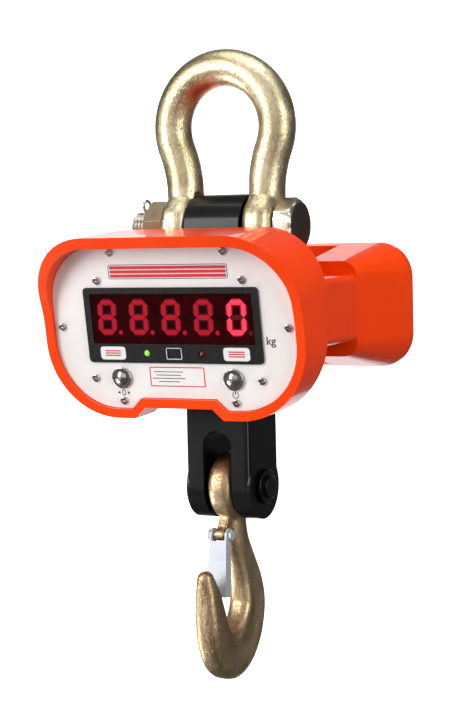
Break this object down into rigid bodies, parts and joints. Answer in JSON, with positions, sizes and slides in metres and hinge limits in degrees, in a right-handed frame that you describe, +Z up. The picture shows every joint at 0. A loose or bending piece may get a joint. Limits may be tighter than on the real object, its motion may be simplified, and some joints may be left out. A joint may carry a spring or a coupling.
{
  "type": "crane scale",
  "caption": "Hanging crane scale: bow shackle, load cell in an orange housing with a digital display, and a swivel clevis with a latched eye hook.",
  "frame": {"origin": "crown seat inside the shackle bow, where the crane hook bears", "axes": "+Z up; the display faces -Y; +X along the shackle bolt towards its head, on the reader's right"},
  "size_m": [0.211, 0.2419, 0.4716],
  "materials": {
    "yellow_zinc": "forged, yellow-zinc plated, semi-gloss",
    "bright_steel": "plain bright steel",
    "brown_steel": "brownish plated steel",
    "black_steel": "black, satin gloss",
    "grey_cable": "matt",
    "orange_paint": "glossy powder coat",
    "black_rubber": "matt",
    "white_panel": "smooth printed film",
    "chrome": "bright",
    "black_plastic": "satin",
    "red_lens": "dark red, clear",
    "digit_plastic": "matt",
    "green_board": "satin",
    "green_led": "clear lens",
    "dark_red_led": "clear lens",
    "battery_grey": "matt",
    "gold_brown_hook": "forged, gold-brown coat",
    "zinc_plate": "bright zinc"
  },
  "bodies": {
    "shackle": {"shackle_bow": "yellow_zinc", "shackle_bolt": "bright_steel", "shackle_nut": "brown_steel", "shackle_cotter_pin": "bright_steel"},
    "housing": {"load_cell": "black_steel", "gauge_covers": "bright_steel", "gauge_cable": "grey_cable", "mounting_brackets": "bright_steel", "bracket_screws": "bright_steel", "housing_casting": "orange_paint", "top_seal": "black_rubber", "bottom_seal": "black_rubber", "panel_gasket": "black_rubber", "front_panel": "white_panel", "panel_screws": "chrome", "display_bezel": "black_plastic", "display_lens": "red_lens", "led_digits": "digit_plastic", "display_board": "green_board", "board_standoffs": "bright_steel", "board_screws": "chrome", "main_board": "green_board", "steady_led": "green_led", "infrared_window": "black_plastic", "tare_led": "dark_red_led", "button_bezels": "chrome", "button_switches": "digit_plastic", "battery": "battery_grey", "battery_strap": "bright_steel", "rear_gasket": "black_rubber", "rear_cover": "orange_paint", "cover_screws": "chrome", "charge_socket": "bright_steel", "lower_race": "bright_steel", "bearing_balls": "bright_steel"},
    "tare_button": {"tare_button": "chrome"},
    "power_button": {"power_button": "chrome"},
    "clevis": {"upper_race": "bright_steel", "swivel_stem": "black_steel", "swivel_nut": "bright_steel", "swivel_split_pin": "bright_steel", "clevis_fork": "black_steel", "clevis_pin": "black_steel", "pin_washer": "bright_steel", "pin_circlip": "bright_steel"},
    "hook": {"hook": "gold_brown_hook", "latch_bolt": "zinc_plate", "latch_nut": "zinc_plate"},
    "latch": {"latch_plate": "zinc_plate", "latch_spring": "bright_steel"}
  },
  "joints": [
    {"name": "shackle_swing", "type": "hinge", "parent": "shackle", "child": "housing", "pos_m": [0, 0, -0.104], "axis": [1, 0, 0], "range_deg": [-60, 60]},
    {"name": "hook_swivel", "type": "hinge", "parent": "housing", "child": "clevis", "pos_m": [0, 0, -0.264], "axis": [0, 0, 1], "continuous": true},
    {"name": "hook_swing", "type": "hinge", "parent": "clevis", "child": "hook", "pos_m": [0, 0, -0.2984], "axis": [1, 0, 0], "range_deg": [-50, 50]},
    {"name": "latch_hinge", "type": "hinge", "parent": "hook", "child": "latch", "pos_m": [0, -0.0205, -0.3335], "axis": [1, 0, 0], "range_deg": [0, 26], "stiffness_Nm_per_rad": 0.05, "springref_deg": -34.38},
    {"name": "tare_press", "type": "slide", "parent": "housing", "child": "tare_button", "axis": [0, 0.9885, 0.1513], "range_m": [0, 0.0012], "stiffness_N_per_m": 400, "springref_m": -0.001},
    {"name": "power_press", "type": "slide", "parent": "housing", "child": "power_button", "axis": [0, 0.9885, 0.1513], "range_m": [0, 0.0012], "stiffness_N_per_m": 400, "springref_m": -0.001}
  ]
}
